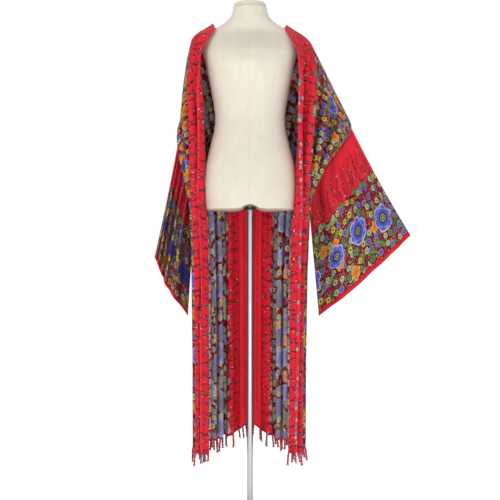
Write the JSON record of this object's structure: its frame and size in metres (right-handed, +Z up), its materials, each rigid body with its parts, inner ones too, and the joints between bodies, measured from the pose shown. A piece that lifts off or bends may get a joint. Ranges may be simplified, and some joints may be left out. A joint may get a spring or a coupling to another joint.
{
  "type": "kimono robe on a limbless dress form",
  "caption": "Long open kimono robe with wide straight sleeves and fringed ends, hanging in deep folds on a limbless dress form with a pole and round base",
  "frame": {"origin": "centre of the round base's underside, where it rests on the floor", "axes": "+Z up along the pole, the robe's open front faces -Y, the wearer's left is +X"},
  "size_m": [0.8907, 0.3863, 1.726],
  "materials": {
    "print_cloth": "soft woven viscose, printed with small flowers",
    "plain_cloth": "soft woven viscose, plain red",
    "fringe_yarn": "twisted yarn",
    "form_linen": "ivory linen cover",
    "stand_steel": "polished plate",
    "socket_black": "satin black"
  },
  "bodies": {
    "root": {"back_panel": "print_cloth", "front_left": "print_cloth", "front_right_upper": "print_cloth", "front_right_lower": "print_cloth", "sleeve_left": "print_cloth", "sleeve_right": "print_cloth", "cuff_hem_left": "plain_cloth", "cuff_hem_right": "plain_cloth", "fringe_back": "fringe_yarn", "fringe_front_left": "fringe_yarn", "fringe_front_right": "fringe_yarn", "dress_form": "form_linen", "neck_cap": "form_linen", "pole": "stand_steel", "pole_socket": "socket_black", "base_plate": "stand_steel"}
  },
  "joints": []
}
